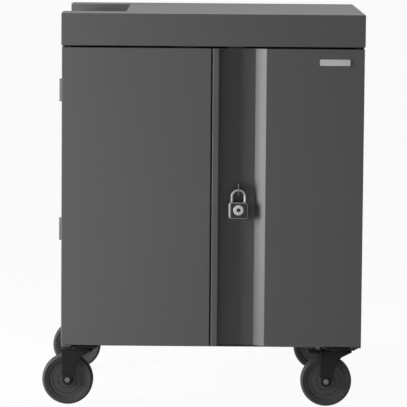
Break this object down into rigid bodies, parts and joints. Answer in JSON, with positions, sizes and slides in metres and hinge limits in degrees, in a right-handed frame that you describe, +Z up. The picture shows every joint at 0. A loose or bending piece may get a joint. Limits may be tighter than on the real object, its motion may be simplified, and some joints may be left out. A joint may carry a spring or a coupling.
{
  "type": "laptop charging cart",
  "caption": "Steel cabinet cart that stores and charges laptops: front doors with a padlock channel, divider racks, rear service door, push handle notch and swivel casters.",
  "frame": {"origin": "on the floor, under the middle of the cart's bounding box", "axes": "+X to the right of someone facing the front doors, +Y from the front to the back, +Z up"},
  "size_m": [0.793, 0.6612, 0.977],
  "materials": {
    "charcoal_paint": "fine powder coat, satin",
    "interior_paint": "fine powder coat, satin",
    "divider_plastic": "moulded, fine grain",
    "bright_steel": "zinc plated",
    "dark_steel": "black coated pressed steel",
    "badge_metal": "blank satin plate",
    "black_plastic": "moulded, fine grain",
    "hook_plastic": "moulded, satin",
    "tyre_rubber": "matt rubber",
    "padlock_steel": "plated steel, satin",
    "dial_face": "pale dial with plain numbers"
  },
  "bodies": {
    "cabinet": {"base_pan": "interior_paint", "left_side_panel": "charcoal_paint", "right_side_panel": "charcoal_paint", "roof_panel": "interior_paint", "top_cover": "charcoal_paint", "push_handle": "charcoal_paint", "partition_panel": "interior_paint", "device_shelf": "interior_paint", "lower_divider_rack": "divider_plastic", "upper_divider_rack": "divider_plastic", "left_door_top_pin": "dark_steel", "left_door_bottom_pin": "dark_steel", "right_door_top_pin": "dark_steel", "right_door_bottom_pin": "dark_steel", "rear_door_top_pin": "dark_steel", "rear_door_bottom_pin": "dark_steel", "left_magnet_catch": "black_plastic", "right_magnet_catch": "black_plastic", "lower_outlet_strip": "black_plastic", "upper_outlet_strip": "black_plastic", "power_controller": "dark_steel", "power_inlet": "black_plastic", "cord_hook_upper": "hook_plastic", "cord_hook_lower": "hook_plastic", "front_left_caster_plate": "dark_steel", "front_right_caster_plate": "dark_steel", "rear_left_caster_plate": "dark_steel", "rear_right_caster_plate": "dark_steel"},
    "left_door": {"left_door": "charcoal_paint", "left_door_liner": "interior_paint"},
    "right_door": {"right_door": "charcoal_paint", "right_door_liner": "interior_paint", "hasp_eye": "bright_steel", "name_badge": "badge_metal"},
    "rear_door": {"rear_door": "charcoal_paint", "rear_lock_body": "bright_steel"},
    "rear_lock": {"rear_lock_cam": "bright_steel"},
    "shackle": {"padlock_shackle": "bright_steel"},
    "padlock": {"padlock_body": "padlock_steel"},
    "dial": {"padlock_dial": "dial_face"},
    "switch": {"power_switch": "black_plastic"},
    "front_left_fork": {"front_left_caster_fork": "dark_steel", "front_left_caster_axle": "bright_steel"},
    "front_left_wheel": {"front_left_wheel_core": "black_plastic", "front_left_tyre": "tyre_rubber"},
    "front_right_fork": {"front_right_caster_fork": "dark_steel", "front_right_caster_axle": "bright_steel"},
    "front_right_wheel": {"front_right_wheel_core": "black_plastic", "front_right_tyre": "tyre_rubber"},
    "front_right_pedal": {"front_right_brake_pedal": "dark_steel"},
    "rear_left_fork": {"rear_left_caster_fork": "dark_steel", "rear_left_caster_axle": "bright_steel"},
    "rear_left_wheel": {"rear_left_wheel_core": "black_plastic", "rear_left_tyre": "tyre_rubber"},
    "rear_right_fork": {"rear_right_caster_fork": "dark_steel", "rear_right_caster_axle": "bright_steel"},
    "rear_right_wheel": {"rear_right_wheel_core": "black_plastic", "rear_right_tyre": "tyre_rubber"},
    "rear_right_pedal": {"rear_right_brake_pedal": "dark_steel"}
  },
  "joints": [
    {"name": "left_door_hinge", "type": "hinge", "parent": "cabinet", "child": "left_door", "pos_m": [-0.339, -0.3164, 0.5245], "axis": [0, 0, -1], "range_deg": [0, 180]},
    {"name": "right_door_hinge", "type": "hinge", "parent": "cabinet", "child": "right_door", "pos_m": [0.386, -0.3164, 0.5245], "axis": [0, 0, 1], "range_deg": [0, 180]},
    {"name": "rear_door_hinge", "type": "hinge", "parent": "cabinet", "child": "rear_door", "pos_m": [0.386, 0.3166, 0.5245], "axis": [0, 0, -1], "range_deg": [0, 180]},
    {"name": "rear_lock_turn", "type": "hinge", "parent": "rear_door", "child": "rear_lock", "pos_m": [-0.303, 0.2986, 0.525], "axis": [0, 1, 0], "range_deg": [0, 90]},
    {"name": "padlock_swing", "type": "hinge", "parent": "right_door", "child": "shackle", "pos_m": [0.0885, -0.3191, 0.5432], "axis": [-1, 0, 0], "range_deg": [0, 85]},
    {"name": "padlock_open", "type": "slide", "parent": "shackle", "child": "padlock", "axis": [0, 0, -1], "range_m": [0, 0.009]},
    {"name": "dial_turn", "type": "hinge", "parent": "padlock", "child": "dial", "pos_m": [0.0885, -0.3274, 0.4945], "axis": [0, -1, 0], "continuous": true},
    {"name": "power_switch_rock", "type": "hinge", "parent": "cabinet", "child": "switch", "pos_m": [-0.3112, 0.27169, 0.715], "axis": [1, 0, 0], "range_deg": [0, 16]},
    {"name": "front_left_swivel", "type": "hinge", "parent": "cabinet", "child": "front_left_fork", "pos_m": [-0.2985, -0.2764, 0.14], "axis": [0, 0, 1], "continuous": true},
    {"name": "front_left_roll", "type": "hinge", "parent": "front_left_fork", "child": "front_left_wheel", "pos_m": [-0.333, -0.2764, 0.0635], "axis": [0, 1, 0], "continuous": true},
    {"name": "front_right_swivel", "type": "hinge", "parent": "cabinet", "child": "front_right_fork", "pos_m": [0.3455, -0.2764, 0.14], "axis": [0, 0, 1], "continuous": true},
    {"name": "front_right_roll", "type": "hinge", "parent": "front_right_fork", "child": "front_right_wheel", "pos_m": [0.311, -0.2764, 0.0635], "axis": [0, 1, 0], "continuous": true},
    {"name": "front_right_brake", "type": "hinge", "parent": "front_right_fork", "child": "front_right_pedal", "pos_m": [0.3045, -0.2764, 0.132], "axis": [0, -1, 0], "range_deg": [0, 15]},
    {"name": "rear_left_swivel", "type": "hinge", "parent": "cabinet", "child": "rear_left_fork", "pos_m": [-0.2985, 0.2776, 0.14], "axis": [0, 0, 1], "continuous": true},
    {"name": "rear_left_roll", "type": "hinge", "parent": "rear_left_fork", "child": "rear_left_wheel", "pos_m": [-0.333, 0.2776, 0.0635], "axis": [0, 1, 0], "continuous": true},
    {"name": "rear_right_swivel", "type": "hinge", "parent": "cabinet", "child": "rear_right_fork", "pos_m": [0.3455, 0.2776, 0.14], "axis": [0, 0, 1], "continuous": true},
    {"name": "rear_right_roll", "type": "hinge", "parent": "rear_right_fork", "child": "rear_right_wheel", "pos_m": [0.311, 0.2776, 0.0635], "axis": [0, 1, 0], "continuous": true},
    {"name": "rear_right_brake", "type": "hinge", "parent": "rear_right_fork", "child": "rear_right_pedal", "pos_m": [0.3045, 0.2776, 0.132], "axis": [0, -1, 0], "range_deg": [0, 15]}
  ]
}
